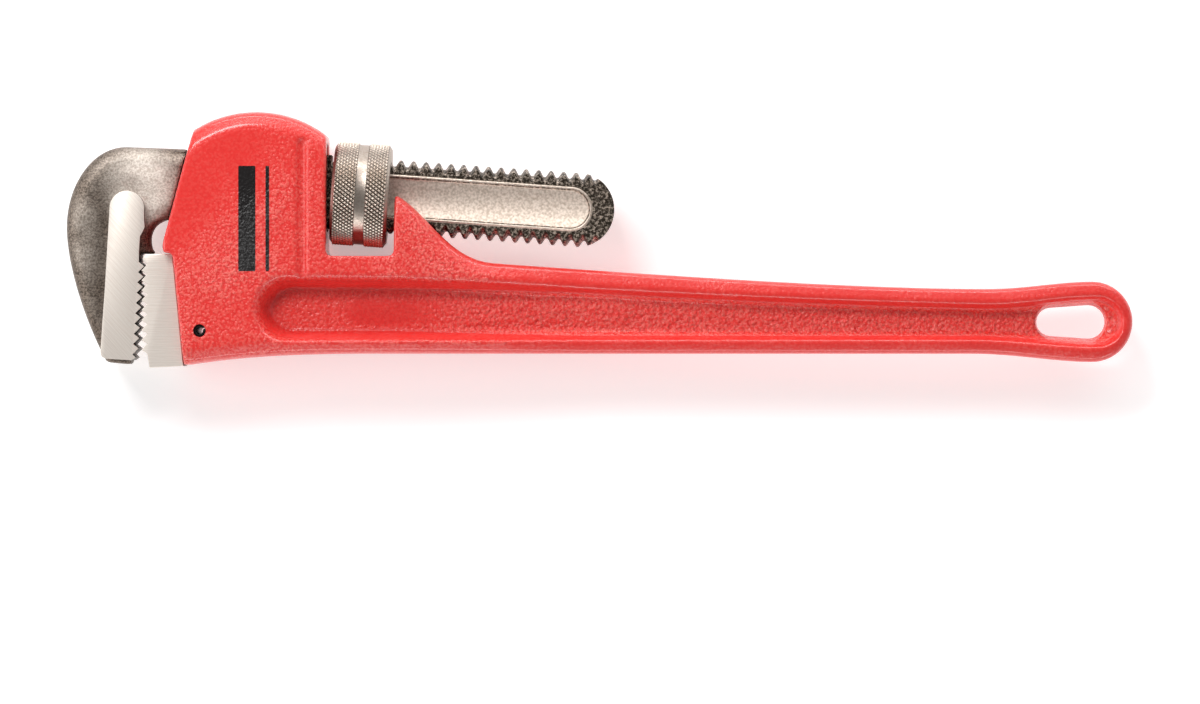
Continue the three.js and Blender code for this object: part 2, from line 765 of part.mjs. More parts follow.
const alongShank = new THREE.Group();
alongShank.rotation.z = -shankTilt;
alongShank.add(
  namedMesh('hook_jaw', hookJaw(), FORGED, 0.55, 0.8),
  namedMesh('adjusting_nut', adjustingNut(), 0x968a80, 0.45, 0.85),
  namedMesh('flat_spring', flatSpring(), SPRING_STEEL, 0.35, 0.9),
  namedMesh('coil_spring', coilSpring(), SPRING_STEEL, 0.35, 0.9),
  namedMesh('spring_rivet', springRivet(), FORGED, 0.4, 0.8),
);

const wrench = new THREE.Group();
wrench.add(alongHandle, alongShank);
wrench.updateMatrixWorld(true);
const extent = new THREE.Box3().setFromObject(wrench, true);
const middle = extent.getCenter(new THREE.Vector3());
wrench.position.set(-middle.x, -middle.y, -extent.min.z);

const group = new THREE.Group();
group.add(wrench);
export default group;
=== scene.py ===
"""A heavy-duty pipe wrench, 350 mm long, lying on its side with its jaws closed."""

from contextlib import contextmanager
from math import asin, atan2, cos, degrees, exp, pi, radians, sin

import bmesh
import bpy
from mathutils import Matrix, Vector, noise
from mathutils.geometry import interpolate_bezier


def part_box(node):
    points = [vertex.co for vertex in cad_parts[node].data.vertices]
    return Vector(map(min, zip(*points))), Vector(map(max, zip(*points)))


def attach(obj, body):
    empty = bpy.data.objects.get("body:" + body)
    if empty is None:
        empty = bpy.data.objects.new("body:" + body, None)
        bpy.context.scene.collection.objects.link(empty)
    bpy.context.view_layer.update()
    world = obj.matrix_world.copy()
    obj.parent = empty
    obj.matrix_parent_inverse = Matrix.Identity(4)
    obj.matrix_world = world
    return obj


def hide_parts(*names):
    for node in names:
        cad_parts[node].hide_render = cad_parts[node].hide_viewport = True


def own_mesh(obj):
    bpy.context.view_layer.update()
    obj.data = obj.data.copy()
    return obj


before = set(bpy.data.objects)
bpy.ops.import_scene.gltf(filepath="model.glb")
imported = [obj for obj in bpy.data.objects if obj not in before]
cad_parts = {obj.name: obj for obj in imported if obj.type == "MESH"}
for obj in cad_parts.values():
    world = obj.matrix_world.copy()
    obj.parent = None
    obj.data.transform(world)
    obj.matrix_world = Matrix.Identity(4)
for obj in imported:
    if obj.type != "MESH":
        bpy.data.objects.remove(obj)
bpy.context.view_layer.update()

# ---- Studio --------------------------------------------------------------------------------
# A long lens looks straight down on the wrench, which lies on a plain white table.
# Broad soft lights stand all round it, so that every rounded edge catches a pale line.
scene = bpy.context.scene
scene.view_settings.view_transform = "Standard"

view_width = 0.39474  # at half the wrench's thickness
half_thickness = 0.017
camera_height = 2.0
camera_data = bpy.data.cameras.new("camera")
camera_data.sensor_width = 36
camera_data.lens = camera_data.sensor_width * (camera_height - half_thickness) / view_width
camera = bpy.data.objects.new("camera", camera_data)
camera.location = (0.00033, -0.0367, camera_height)
scene.collection.objects.link(camera)
scene.camera = camera

bpy.ops.mesh.primitive_plane_add(size=6)
table = bpy.context.object
table.name = "table"
table_finish = bpy.data.materials.new("table_white")
table_finish.use_nodes = True
table_shader = table_finish.node_tree.nodes["Principled BSDF"]
table_shader.inputs["Base Color"].default_value = (0.9, 0.9, 0.9, 1)
table_shader.inputs["Roughness"].default_value = 0.8
table_shader.inputs["Emission Color"].default_value = (1, 1, 1, 1)
table_shader.inputs["Emission Strength"].default_value = 0.36
table.data.materials.append(table_finish)

# The room is bright all round and dim overhead, so flat sides keep their colour
world = bpy.data.worlds.new("studio")
world.use_nodes = True
room = world.node_tree
background = room.nodes["Background"]
background.inputs["Color"].default_value = (1, 1, 1, 1)
direction = room.nodes.new("ShaderNodeSeparateXYZ")
room.links.new(room.nodes.new("ShaderNodeTexCoord").outputs["Generated"], direction.inputs[0])
dimming = room.nodes.new("ShaderNodeMapRange")
for label, value in {"From Min": 0.3, "From Max": 0.95, "To Min": 0.55, "To Max": 0.2}.items():
    dimming.inputs[label].default_value = value
room.links.new(direction.outputs["Z"], dimming.inputs["Value"])
room.links.new(dimming.outputs[0], background.inputs["Strength"])
scene.world = world


def softbox(name, place, size, watts):
    """A rectangular light that faces the middle of the wrench."""
    data = bpy.data.lights.new(name, "AREA")
    data.shape = "RECTANGLE"
    data.size, data.size_y = size
    data.energy = watts
    light = bpy.data.objects.new(name, data)
    light.location = place
    light.rotation_euler = (-Vector(place)).to_track_quat("-Z", "Y").to_euler()
    scene.collection.objects.link(light)


softbox("key_light", (-0.5, 0.85, 1.05), (0.7, 0.35), 11)
softbox("far_light", (0.15, 1.2, 0.45), (1.8, 0.2), 10)
softbox("near_light", (0.1, -1.2, 0.5), (1.8, 0.2), 7)
softbox("left_light", (-1.2, 0.0, 0.6), (0.5, 1.0), 4)

# ---- Handle and housing --------------------------------------------------------------------
# One iron casting: the housing with its dome, a window for the nut, a passage for the shank,
# and an I-section grip that ends in a hanging eye. It is cast, machined where the jaws fit,
# and dipped in glossy red enamel. Outlines are in millimetres about the middle of the nut.
nut_low, nut_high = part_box("adjusting_nut")
nut_middle = (nut_low + nut_high) / 2

thread_radius = 12.2
window_half = 11.1
window_floor = -20.3
window_corner = 1.2
bottom_edge = -52.3
front_foot = Vector((-64.5, -16.5))
front_lean = Vector((10, 37.4))
seat_height = -19.3
seat_top, seat_bottom = -61.2, -57.6
shank_tilt = radians(4)
housing_half = 14.5
grip_half = 9.5
taper_start, taper_end = 11.6, 72
dome_middle = Vector((-34, -11.1))
dome_radius = 38
eye_middle = Vector((240, -41.8))
eye_radius = 13.2
waist = 205.4
web_half = 5.37
passage_half = 6.7
spring_station = -30
pocket_radius, pocket_foot, pocket_roof = 4.3, 13.6, 21.6
mortise_half = 5.4
well_clear = 20  # takes a cutting tool past the surface


def arc(middle, radius, start, end, steps):
    """Points along an arc, from one angle in degrees to another."""
    turns = [radians(start + (end - start) * i / steps) for i in range(steps + 1)]
    return [(middle[0] + radius * cos(a), middle[1] + radius * sin(a)) for a in turns]


def bow(start, pull_start, pull_end, end, steps=16):
    """Points along a smooth curve that leaves and arrives towards two pulling points."""
    knots = [Vector(p) for p in (start, pull_start, pull_end, end)]
    return [tuple(p) for p in interpolate_bezier(*knots, steps)]


def outline_face(bm, points, level):
    """A flat face round an outline, without repeated points."""
    same_point = 0.02
    kept = []
    for x, y in points:
        if not kept or (Vector((x, y)) - Vector(kept[-1])).length > same_point:
            kept.append((x, y))
    if (Vector(kept[0]) - Vector(kept[-1])).length < same_point:
        kept.pop()
    return bm.faces.new([bm.verts.new((x, y, level)) for x, y in kept])


def built_up(points, level, steps, toward=1):
    """A solid raised from an outline in steps of (inset, rise), a stack of ever smaller rims."""
    bm = bmesh.new()
    face = outline_face(bm, points, level)
    grown = bmesh.ops.extrude_face_region(bm, geom=[face])["geom"]
    top = next(g for g in grown if isinstance(g, bmesh.types.BMFace))
    for inset, rise in steps:
        if inset:
            bmesh.ops.inset_region(
                bm, faces=[top], thickness=inset, use_even_offset=True, use_boundary=True
            )
        bmesh.ops.translate(bm, vec=(0, 0, rise * toward), verts=top.verts)
    return bm


def resize(bm, factor):
    """Makes everything larger or smaller about the origin."""
    bmesh.ops.scale(bm, vec=(factor, factor, factor), verts=bm.verts)


def lean(bm, angle, about=(0, 0, 0)):
    """Turns everything in the wrench's own plane, clockwise where the angle is above 0."""
    bmesh.ops.rotate(bm, cent=about, matrix=Matrix.Rotation(-angle, 3, "Z"), verts=bm.verts)


def in_place(bm):
    """From millimetres about the nut to metres in the wrench's own place."""
    resize(bm, 0.001)
    bmesh.ops.translate(bm, vec=nut_middle, verts=bm.verts)


def as_piece(bm, name):
    """An object that holds a finished mesh, with its faces turned outwards."""
    bmesh.ops.recalc_face_normals(bm, faces=bm.faces)
    mesh = bpy.data.meshes.new(name)
    bm.to_mesh(mesh)
    bm.free()
    piece = bpy.data.objects.new(name, mesh)
    scene.collection.objects.link(piece)
    return piece


@contextmanager
def opened(piece):
    """A piece's mesh, open for work and put back afterwards."""
    bm = bmesh.new()
    bm.from_mesh(piece.data)
    yield bm
    bm.to_mesh(piece.data)
    bm.free()


def settle(piece):
    """Makes a piece's modifiers part of its mesh."""
    evaluated = piece.evaluated_get(bpy.context.evaluated_depsgraph_get())
    mesh = bpy.data.meshes.new_from_object(evaluated)
    piece.modifiers.clear()
    piece.data = mesh


def combine(piece, tool, operation):
    """Cuts a tool's shape out of a piece, or joins it on, and clears the tool away."""
    step = piece.modifiers.new("shape", "BOOLEAN")
    step.operation = operation
    step.solver = "EXACT"
    step.material_mode = "TRANSFER"
    step.object = tool
    settle(piece)
    bpy.data.objects.remove(tool)


def bar_tool(left, foot, right, top, half):
    """A square-cornered cutting tool between four sides, as deep as half on either side."""
    low, high = Vector((left, foot, -half)), Vector((right, top, half))
    bm = bmesh.new()
    bmesh.ops.create_cube(bm, size=1)
    bmesh.ops.scale(bm, vec=high - low, verts=bm.verts)
    bmesh.ops.translate(bm, vec=(high + low) / 2, verts=bm.verts)
    return bm


def mirrored(bm):
    """Completes a half that stands on the middle plane with its own mirror image."""
    middle = [f for f in bm.faces if all(abs(v.co.z) < 1e-6 for v in f.verts)]
    bmesh.ops.delete(bm, geom=middle, context="FACES_ONLY")
    bmesh.ops.mirror(bm, geom=bm.verts[:] + bm.edges[:] + bm.faces[:], axis="Z")
    bmesh.ops.remove_doubles(bm, verts=bm.verts, dist=0.001)
    return bm


def casting_outline():
    """The whole silhouette, carried past the places that are cut away afterwards."""
    grip_top = bottom_edge + 29.7
    waist_top = bottom_edge + 21.3
    fin_end = taper_start + 32.4
    points = [(-76, -59.4), (-76, -12)]
    points += arc(dome_middle, dome_radius, 175, 38, 72)
    points += [(3.2, 4.1)]
    points += bow((11.7, -0.2), (22.1, -5.7), (fin_end - 15.5, grip_top + 1), (fin_end, grip_top))
    points += bow(
        (fin_end, grip_top), (fin_end + 51, grip_top - 3.6),
        (waist - 45, waist_top), (waist, waist_top), 30,
    )
    eye_x, eye_y = eye_middle
    eye_top, eye_foot = eye_y + eye_radius, eye_y - eye_radius
    points += bow((waist, waist_top), (waist + 13, waist_top), (eye_x - 11, eye_top), (eye_x, eye_top))
    points += arc(eye_middle, eye_radius, 90, -90, 40)
    points += bow(
        (eye_x, eye_foot), (eye_x - 12, eye_foot), (waist + 10, bottom_edge), (waist - 5, bottom_edge)
    )
    points += [(waist - 5 - 20 * i, bottom_edge) for i in range(1, 10)]
    points += bow(
        (0, bottom_edge), (-25, bottom_edge - 0.2), (-42, bottom_edge - 1), (-62.6, bottom_edge - 4.7)
    )
    return points


def recess_outline():
    """The mouth of the long recess in each side, from the housing to round the eye."""
    radius = 11.8
    left = Vector((-25.2, bottom_edge + 14.6))
    top, floor = left.y + radius, left.y - radius
    end = Vector((eye_middle.x + 1.9, eye_middle.y))
    waist_top = bottom_edge + 17.9
    inner = eye_radius - 3.2
    points = arc(left, radius, 270, 90, 40)
    points += [(left.x + 20, top - 0.1)]
    points += bow(
        (left.x + 40, top - 0.3), (60, top - 2.2), (110, waist_top + 2.3), (waist, waist_top), 30
    )
    points += bow((waist, waist_top), (218, waist_top), (229, end.y + inner), (end.x, end.y + inner))
    points += arc(end, inner, 90, -90, 32)
    points += bow((end.x, end.y - inner), (228, end.y - inner), (waist + 10, floor), (waist - 5, floor))
    points += [(waist - 5 - 22 * i, floor) for i in range(1, 10)]
    return points


def slot_outline():
    """The mouth of the hanging slot, a little wider at the eye's end."""
    wide, narrow = 7.0, 6.1
    wide_x, narrow_x = eye_middle.x - 1, eye_middle.x - 13.4
    spread = degrees(asin((wide - narrow) / (wide_x - narrow_x)))
    points = arc((wide_x, eye_middle.y), wide, 90 + spread, -90 - spread, 24)
    return points + arc((narrow_x, eye_middle.y), narrow, -90 - spread, -270 + spread, 20)


# The rough casting: a rounded edge, a fine crease, and a wider bevel up to the flat side
edge_steps = [
    (0, 9.9), (0.3, 1.1), (0.4, 0.9), (0.5, 0.6), (0.5, 0.35), (0.5, 0.12),
    (0.25, 0.05), (0.4, 0.42), (0.6, 0.42), (0.9, 0.36), (1.0, 0.2), (0.9, 0.1),
]
edge_rise = sum(rise for inset, rise in edge_steps)
bm = built_up(casting_outline(), 0, edge_steps)
bmesh.ops.scale(bm, vec=(1, 1, housing_half / edge_rise), verts=bm.verts)
handle = as_piece(mirrored(bm), "handle_casting")


def both_sides(bm):
    """Repeats a tool for the wrench's other side."""
    bmesh.ops.recalc_face_normals(bm, faces=bm.faces)
    copy = bmesh.ops.duplicate(bm, geom=bm.verts[:] + bm.edges[:] + bm.faces[:])["geom"]
    turned = [g for g in copy if isinstance(g, bmesh.types.BMVert)]
    bmesh.ops.scale(bm, vec=(1, 1, -1), verts=turned)
    bmesh.ops.reverse_faces(bm, faces=[g for g in copy if isinstance(g, bmesh.types.BMFace)])
    return bm


# The recess has a broad rounded lip, a smooth hollow wall, and a rough web at the bottom
recess_steps = [
    (0, 0.85), (0.45, 0.25), (0.55, 0.35), (0.55, 0.5), (0.45, 0.8), (0.4, 1.2), (0.4, 1.5),
    (0.4, 1.5), (0.5, 1.3), (0.55, 0.9), (0.6, 0.6), (0.4, 0.35), (0.3, 0.1), (0.2, -0.15),
]
recess_depth = sum(rise for inset, rise in recess_steps)
recess_mouth = housing_half + 1
round_end_reach = 24
bm = built_up(recess_outline(), recess_mouth, recess_steps, -1)
for vert in bm.verts:
    # The wall slopes more gently at the recess's round end
    depth = (recess_mouth - vert.co.z) / recess_depth
    near_end = min(max(-vert.co.x / round_end_reach, 0), 1)
    vert.co.x += near_end * (1.0 + 2.4 * depth)
combine(handle, as_piece(both_sides(bm), "recess_tool"), "DIFFERENCE")

# Blank raised plate cast on each side of the web
plate_root = 1  # sunk well into the web
plate_outline = arc((0, -38.3), 4.3, 90, 270, 16) + arc((85, -38.9), 3.9, -90, 90, 16)
bm = built_up(plate_outline, plate_root, [(0, web_half - plate_root), (0.5, 0.45), (0.4, 0.1)])
combine(handle, as_piece(both_sides(bm), "plate"), "UNION")

# Upright groove in each side, in front of the nut's window
groove_outline = [(-20.6, -29.5), (-17.2, -29.5), (-17.2, 18.2), (-20.6, 18.2)]
bm = built_up(groove_outline, housing_half + 1, [(0, 1.2), (0.5, 0.9), (0.4, 0.4)], -1)
combine(handle, as_piece(both_sides(bm), "groove_tool"), "DIFFERENCE")

# Hanging slot, drafted from both sides down to the middle of the web
slot_steps = [(0, 9), (0.5, 2.4), (0.4, 2.2), (0.35, 2.0), (0.25, 1.4), (0.1, 1)]
slot_depth = sum(rise for inset, rise in slot_steps)
bm = built_up(slot_outline(), slot_depth, slot_steps, -1)
combine(handle, as_piece(mirrored(bm), "slot_tool"), "DIFFERENCE")

# Behind the window the casting thins evenly down to the grip
with opened(handle) as bm:
    for station in (taper_start, 30, 50, taper_end):
        everything = bm.verts[:] + bm.edges[:] + bm.faces[:]
        bmesh.ops.bisect_plane(bm, geom=everything, plane_co=(station, 0, 0), plane_no=(1, 0, 0))
    for vert in bm.verts:
        share = min(max((vert.co.x - taper_start) / (taper_end - taper_start), 0), 1)
        vert.co.z *= 1 + share * (grip_half / housing_half - 1)

# Machined: the front with the heel jaw's seat, the nut's window and the slot behind it,
# the shank's passage with the spring's pocket, the heel jaw's mortise and the pin's hole
far_left, far_below, far_above = -110, -80, 50
outline_top = front_foot + front_lean * 1.7
front_outline = [
    (far_left, outline_top.y), tuple(outline_top), tuple(front_foot), (front_foot.x + 0.2, seat_height),
    (seat_top, seat_height), (seat_bottom, bottom_edge - 4), (seat_bottom + 1, far_below),
    (far_left, far_below),
]
front_tool = built_up(front_outline, -well_clear, [(0, 2 * well_clear)])
combine(handle, as_piece(front_tool, "front_tool"), "DIFFERENCE")

corner_x, corner_y = window_half - window_corner, window_floor + window_corner
window_outline = [(-window_half + 0.4, far_above)]
window_outline += arc((-corner_x, corner_y), window_corner, 180, 270, 6)
window_outline += arc((corner_x, corner_y), window_corner, 270, 360, 6)
window_outline += [(window_half + 0.6, far_above)]
window_tool = built_up(window_outline, -well_clear, [(0, 2 * well_clear)])
combine(handle, as_piece(window_tool, "window_tool"), "DIFFERENCE")

fork_tool = bar_tool(window_half - 3, window_floor + 1, window_half + 70, 45, passage_half)
combine(handle, as_piece(fork_tool, "fork_tool"), "DIFFERENCE")

passage_tool = bar_tool(-85, -12.6, -window_half + 3, 15.7, passage_half)
lean(passage_tool, shank_tilt)
combine(handle, as_piece(passage_tool, "passage_tool"), "DIFFERENCE")

pocket_tool = bmesh.new()
bmesh.ops.create_cone(
    pocket_tool, cap_ends=True, segments=40, radius1=pocket_radius, radius2=pocket_radius,
    depth=pocket_roof - pocket_foot, matrix=Matrix.Rotation(radians(90), 4, "X"),
)
pocket_middle = (spring_station, (pocket_roof + pocket_foot) / 2, 0)
bmesh.ops.translate(pocket_tool, vec=pocket_middle, verts=pocket_tool.verts)
lean(pocket_tool, shank_tilt)
combine(handle, as_piece(pocket_tool, "pocket_tool"), "DIFFERENCE")

mortise_tool = bar_tool(
    seat_bottom - 8, bottom_edge - 0.1, seat_top + 14.2, seat_height - 6.6, mortise_half
)
combine(handle, as_piece(mortise_tool, "mortise_tool"), "DIFFERENCE")


def even_skin(piece, grid, passes):
    """Gives a piece in metres one even mesh, and softens all its edges."""
    skin = piece.modifiers.new("skin", "REMESH")
    skin.mode = "VOXEL"
    skin.voxel_size = grid
    soften = piece.modifiers.new("soften", "SMOOTH")
    soften.factor = 0.5
    soften.iterations = passes
    settle(piece)


with opened(handle) as bm:
    bmesh.ops.remove_doubles(bm, verts=bm.verts, dist=0.002)
    in_place(bm)
even_skin(handle, 0.00078, 3)  # so that the cut edges come out as soft as the cast ones

# The pin's hole, drilled through both cheeks after casting
pin_low, pin_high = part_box("heel_jaw_pin")
pin_middle = (pin_low + pin_high) / 2
drill_radius = (pin_high.x - pin_low.x) / 2 + 0.0001
pin_drill = bmesh.new()
bmesh.ops.create_cone(
    pin_drill, cap_ends=True, segments=48, radius1=drill_radius, radius2=drill_radius, depth=0.06
)
bmesh.ops.translate(pin_drill, vec=pin_middle, verts=pin_drill.verts)
combine(handle, as_piece(pin_drill, "pin_drill"), "DIFFERENCE")
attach(handle, "handle_body")
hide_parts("handle")


def smooth(piece, crease=None):
    """Smooth shading, but not across large flats or edges that turn by more than crease degrees."""
    for polygon in piece.data.polygons:
        polygon.use_smooth = len(polygon.vertices) < 7
    if crease:
        piece.data.set_sharp_from_angle(angle=radians(crease))


def add(tree, kind, values=None, **settings):
    """A shader node. Its inputs are given as plain values or as other nodes' outputs."""
    made = tree.nodes.new(kind)
    for key, value in settings.items():
        setattr(made, key, value)
    for socket, value in (values or {}).items():
        if isinstance(value, bpy.types.NodeSocket):
            tree.links.new(value, made.inputs[socket])
        else:
            made.inputs[socket].default_value = value
    return made


def maths(tree, operation, *values):
    """One sum, whose parts are numbers or other nodes' outputs."""
    return add(tree, "ShaderNodeMath", dict(enumerate(values)), operation=operation).outputs[0]


def ramp(tree, value, start, end, low=0.0, high=1.0):
    """Goes smoothly from low to high while a value goes from start to end."""
    values = {"Value": value, "From Min": start, "From Max": end, "To Min": low, "To Max": high}
    return add(tree, "ShaderNodeMapRange", values, interpolation_type="SMOOTHSTEP").outputs[0]


def blend_colours(tree, share, first, second):
    """Goes from the first colour to the second as share goes from 0 to 1."""
    values = {"Factor": share, "A": first, "B": second}
    mixer = tree.nodes.new("ShaderNodeMix")
    mixer.data_type = "RGBA"
    for name, value in values.items():
        kind = "NodeSocketFloat" if name == "Factor" else "NodeSocketColor"
        socket = next(i for i in mixer.inputs if i.name == name and i.bl_idname.startswith(kind))
        if isinstance(value, bpy.types.NodeSocket):
            tree.links.new(value, socket)
        else:
            socket.default_value = value
    return next(o for o in mixer.outputs if o.bl_idname.startswith("NodeSocketColor"))


def new_group(name, fineness, outputs):
    """An empty node group that takes a place and a fineness, and puts out numbers."""
    tree = bpy.data.node_groups.new(name, "ShaderNodeTree")
    tree.interface.new_socket("Place", in_out="INPUT", socket_type="NodeSocketVector")
    tree.interface.new_socket(fineness, in_out="INPUT", socket_type="NodeSocketFloat")
    for label in outputs:
        tree.interface.new_socket(label, in_out="OUTPUT", socket_type="NodeSocketFloat")
    entry = tree.nodes.new("NodeGroupInput").outputs
    return tree, entry["Place"], entry[fineness], tree.nodes.new("NodeGroupOutput").inputs


def noise_texture(tree, place, scale, detail, roughness=0.5):
    """Cloudy noise at a place, as one number."""
    values = {"Vector": place, "Scale": scale, "Detail": detail, "Roughness": roughness}
    return add(tree, "ShaderNodeTexNoise", values).outputs[0]


def finish(name, roughness, metallic):
    """A material with its shader and its coordinates on the piece."""
    material = bpy.data.materials.new(name)
    material.use_nodes = True
    tree = material.node_tree
    shader = tree.nodes["Principled BSDF"]
    shader.inputs["Roughness"].default_value = roughness
    shader.inputs["Metallic"].default_value = metallic
    place = tree.nodes.new("ShaderNodeTexCoord").outputs["Object"]
    return material, tree, shader, place


def relief(tree, shader, height, depth):
    """Raises the surface by a height that goes from 0 to 1, over a depth in metres."""
    bump = add(tree, "ShaderNodeBump", {"Height": height, "Distance": depth, "Strength": 1.0})
    tree.links.new(bump.outputs["Normal"], shader.inputs["Normal"])


def off_middle_plane(tree, place):
    """How far a point stands to either side of the wrench's middle plane."""
    height = add(tree, "ShaderNodeSeparateXYZ", {0: place}).outputs["Z"]
    return maths(tree, "ABSOLUTE", maths(tree, "SUBTRACT", height, nut_middle.z))


# Pebbled skin that the sand mould leaves, at a given size of grain
pebbles, spot, fineness, result = new_group("pebbles", "Grains per metre", ["Height", "Hollows", "Tops"])
waver = noise_texture(pebbles, spot, fineness, 3.0, 0.55)
cell_values = {"Vector": spot, "Scale": fineness, "Randomness": 1.0}
cells = add(pebbles, "ShaderNodeTexVoronoi", cell_values, feature="SMOOTH_F1")
mounds = maths(pebbles, "MULTIPLY", maths(pebbles, "SUBTRACT", 1.0, cells.outputs["Distance"]), 0.55)
height = maths(pebbles, "ADD", mounds, maths(pebbles, "MULTIPLY", waver, 0.75))
pebbles.links.new(height, result["Height"])
pebbles.links.new(ramp(pebbles, waver, 0.56, 0.36), result["Hollows"])
pebbles.links.new(ramp(pebbles, height, 0.62, 0.8), result["Tops"])

# Red enamel on the sand skin, rough on the web and smoother on the dome: its hollows darker with pooled
# enamel and painted shade, the tops of its grains paler with a painted highlight
enamel, tree, shader, place = finish("red_enamel", 0.3, 0.0)
shader.inputs["Coat Weight"].default_value = 0.5
shader.inputs["Coat Roughness"].default_value = 0.12
shader.inputs["Specular IOR Level"].default_value = 0.45
axes = add(tree, "ShaderNodeSeparateXYZ", {0: place})
off_plane = off_middle_plane(tree, place)
web_skin = ramp(tree, off_plane, 0.0062, 0.0048)
coarse, fine = [
    add(tree, "ShaderNodeGroup", {"Place": place, "Grains per metre": grains}, node_tree=pebbles)
    for grains in (850.0, 1150.0)
]
patches = noise_texture(tree, place, 45.0, 1.0)
smooth_top = ramp(tree, maths(tree, "SUBTRACT", axes.outputs["Y"], axes.outputs["X"]), 0.095, 0.16)
side_skin = maths(
    tree, "MULTIPLY", ramp(tree, smooth_top, 0, 1, 1.7, 0.35), ramp(tree, patches, 0.35, 0.65, 0.6, 1.2)
)
side_skin = maths(tree, "MULTIPLY", side_skin, ramp(tree, off_plane, 0.0103, 0.0125, 0.3, 1.0))
rough_height = maths(tree, "MULTIPLY", coarse.outputs["Height"], maths(tree, "MULTIPLY", web_skin, 2.4))
fine_height = maths(tree, "MULTIPLY", fine.outputs["Height"], side_skin)
relief(tree, shader, maths(tree, "ADD", rough_height, fine_height), 0.0004)
red = blend_colours(tree, patches, (0.74, 0.026, 0.022, 1), (0.8, 0.036, 0.03, 1))
# Painted light: the web's red is made lighter to lift the shade that the recess walls throw on it
red = blend_colours(tree, web_skin, red, (0.95, 0.05, 0.04, 1))
# Hollows of the grain darkened: partly enamel pooled there, partly painted shade
pooled_enamel_and_shade = maths(tree, "MULTIPLY", coarse.outputs["Hollows"], ramp(tree, web_skin, 0, 1, 0.2, 0.4))
red = blend_colours(tree, pooled_enamel_and_shade, red, (0.6, 0.01, 0.01, 1))
# Painted highlight: the tops of the grains are painted a paler pink, as glints of light on them
side_highlight, web_highlight = maths(tree, "MULTIPLY", side_skin, 0.3), maths(tree, "MULTIPLY", web_skin, 0.5)
pebble_highlight = maths(tree, "MULTIPLY", fine.outputs["Tops"], maths(tree, "MAXIMUM", side_highlight, web_highlight))
red = blend_colours(tree, maths(tree, "MINIMUM", pebble_highlight, 0.6), red, (0.95, 0.2, 0.16, 1))


def box_distance(tree, axes, middle, half, corner):
    """How far a point lies outside an upright box with round corners, less than 0 inside."""
    reach = []
    for axis, centre, size in zip("XY", middle, half):
        off = maths(tree, "ABSOLUTE", maths(tree, "SUBTRACT", axes.outputs[axis], centre))
        reach.append(maths(tree, "MAXIMUM", maths(tree, "SUBTRACT", off, size - corner), 0.0))
    squares = [maths(tree, "POWER", r, 2.0) for r in reach]
    return maths(tree, "SUBTRACT", maths(tree, "SQRT", maths(tree, "ADD", *squares)), corner)


# Printed mark on both sides: a plain solid bar and a thin line beside it
mark_height, mark_half_length, mark_corner = 0.0069, 0.0172, 0.0004
bar_mark, line_mark = [
    maths(tree, "LESS_THAN", box_distance(
        tree, axes, (mark_x, mark_height), (half_width, mark_half_length), mark_corner
    ), 0.0)
    for mark_x, half_width in ((-0.1150, 0.0028), (-0.1083, 0.0006))
]
on_side = maths(tree, "GREATER_THAN", off_plane, 0.0138)
mark = maths(tree, "MULTIPLY", maths(tree, "MAXIMUM", bar_mark, line_mark), on_side)
tree.links.new(blend_colours(tree, mark, red, (0.004, 0.002, 0.002, 1)), shader.inputs["Base Color"])
handle.data.materials.clear()
handle.data.materials.append(enamel)
smooth(handle)

# ---- Hook jaw ------------------------------------------------------------------------------
# One forging: the hook, with a proud block ground bright and cut with nine teeth, and a flat
# shank with a thread on its two edges. It slides through the housing on the adjusting nut.
# Outlines are in millimetres along and across the shank, about the middle of the nut.
tooth_line = -70.7
hook_half = 8.0
block_half = 10.0
shank_half = 6.0
shank_tail = 83.4
thread_pitch = 4.12
thread_start = -10.8
panel_radius = 6.5
panel_end = shank_tail - 14.5


def in_shank_place(bm):
    """From millimetres along the shank to metres in the wrench's own place."""
    lean(bm, shank_tilt)
    in_place(bm)


# Fine specks and soft clouds on bare steel
grain, spot, fineness, result = new_group("steel_grain", "Grains per metre", ["Height", "Specks", "Clouds"])
specks = noise_texture(grain, spot, fineness, 4.0, 0.7)
clouds = noise_texture(grain, spot, 90.0, 2.0)
grain.links.new(specks, result["Height"])
grain.links.new(ramp(grain, specks, 0.35, 0.65), result["Specks"])
grain.links.new(ramp(grain, clouds, 0.3, 0.7), result["Clouds"])


def steel_grain(tree, place, grains):
    """The steel's specks and clouds in a material, with so many grains to the metre."""
    values = {"Place": place, "Grains per metre": grains}
    return add(tree, "ShaderNodeGroup", values, node_tree=grain).outputs


# Forged skin: brown-grey scale, with a painted highlight on the crown of the hook and the high flat painted
# lighter than the hollow round the block and the rounded edges, which keep the dark scale as painted shade
crown_middle = (-0.150, 0.0176, 0.025)
forged, tree, shader, place = finish("forged_skin", 0.5, 0.85)
skin_grain = steel_grain(tree, place, 1500.0)
high = ramp(tree, off_middle_plane(tree, place), 0.0052, 0.0079)
scale_colour = blend_colours(tree, skin_grain["Specks"], (0.045, 0.032, 0.024, 1), (0.27, 0.21, 0.165, 1))
lit_steel_colour = blend_colours(tree, skin_grain["Specks"], (0.62, 0.52, 0.44, 1), (1.0, 0.92, 0.83, 1))
# Painted highlight on the crown; the high flat painted lighter, leaving painted shade in the hollow round
# the block
from_crown = add(tree, "ShaderNodeVectorMath", {0: place, 1: crown_middle}, operation="DISTANCE")
crown = ramp(tree, from_crown.outputs["Value"], 0.0175, 0.005)
flat = maths(tree, "MULTIPLY", high, ramp(tree, skin_grain["Clouds"], 0, 1, 0.1, 0.3))
painted_light_share = maths(tree, "MAXIMUM", flat, crown)
painted_light_patch = maths(tree, "MULTIPLY", painted_light_share, ramp(tree, skin_grain["Clouds"], 0, 1, 0.7, 1.0))
tree.links.new(blend_colours(tree, painted_light_patch, scale_colour, lit_steel_colour), shader.inputs["Base Color"])
tree.links.new(ramp(tree, crown, 0, 1, 0.85, 0.1), shader.inputs["Metallic"])
relief(tree, shader, skin_grain["Height"], 0.00016)

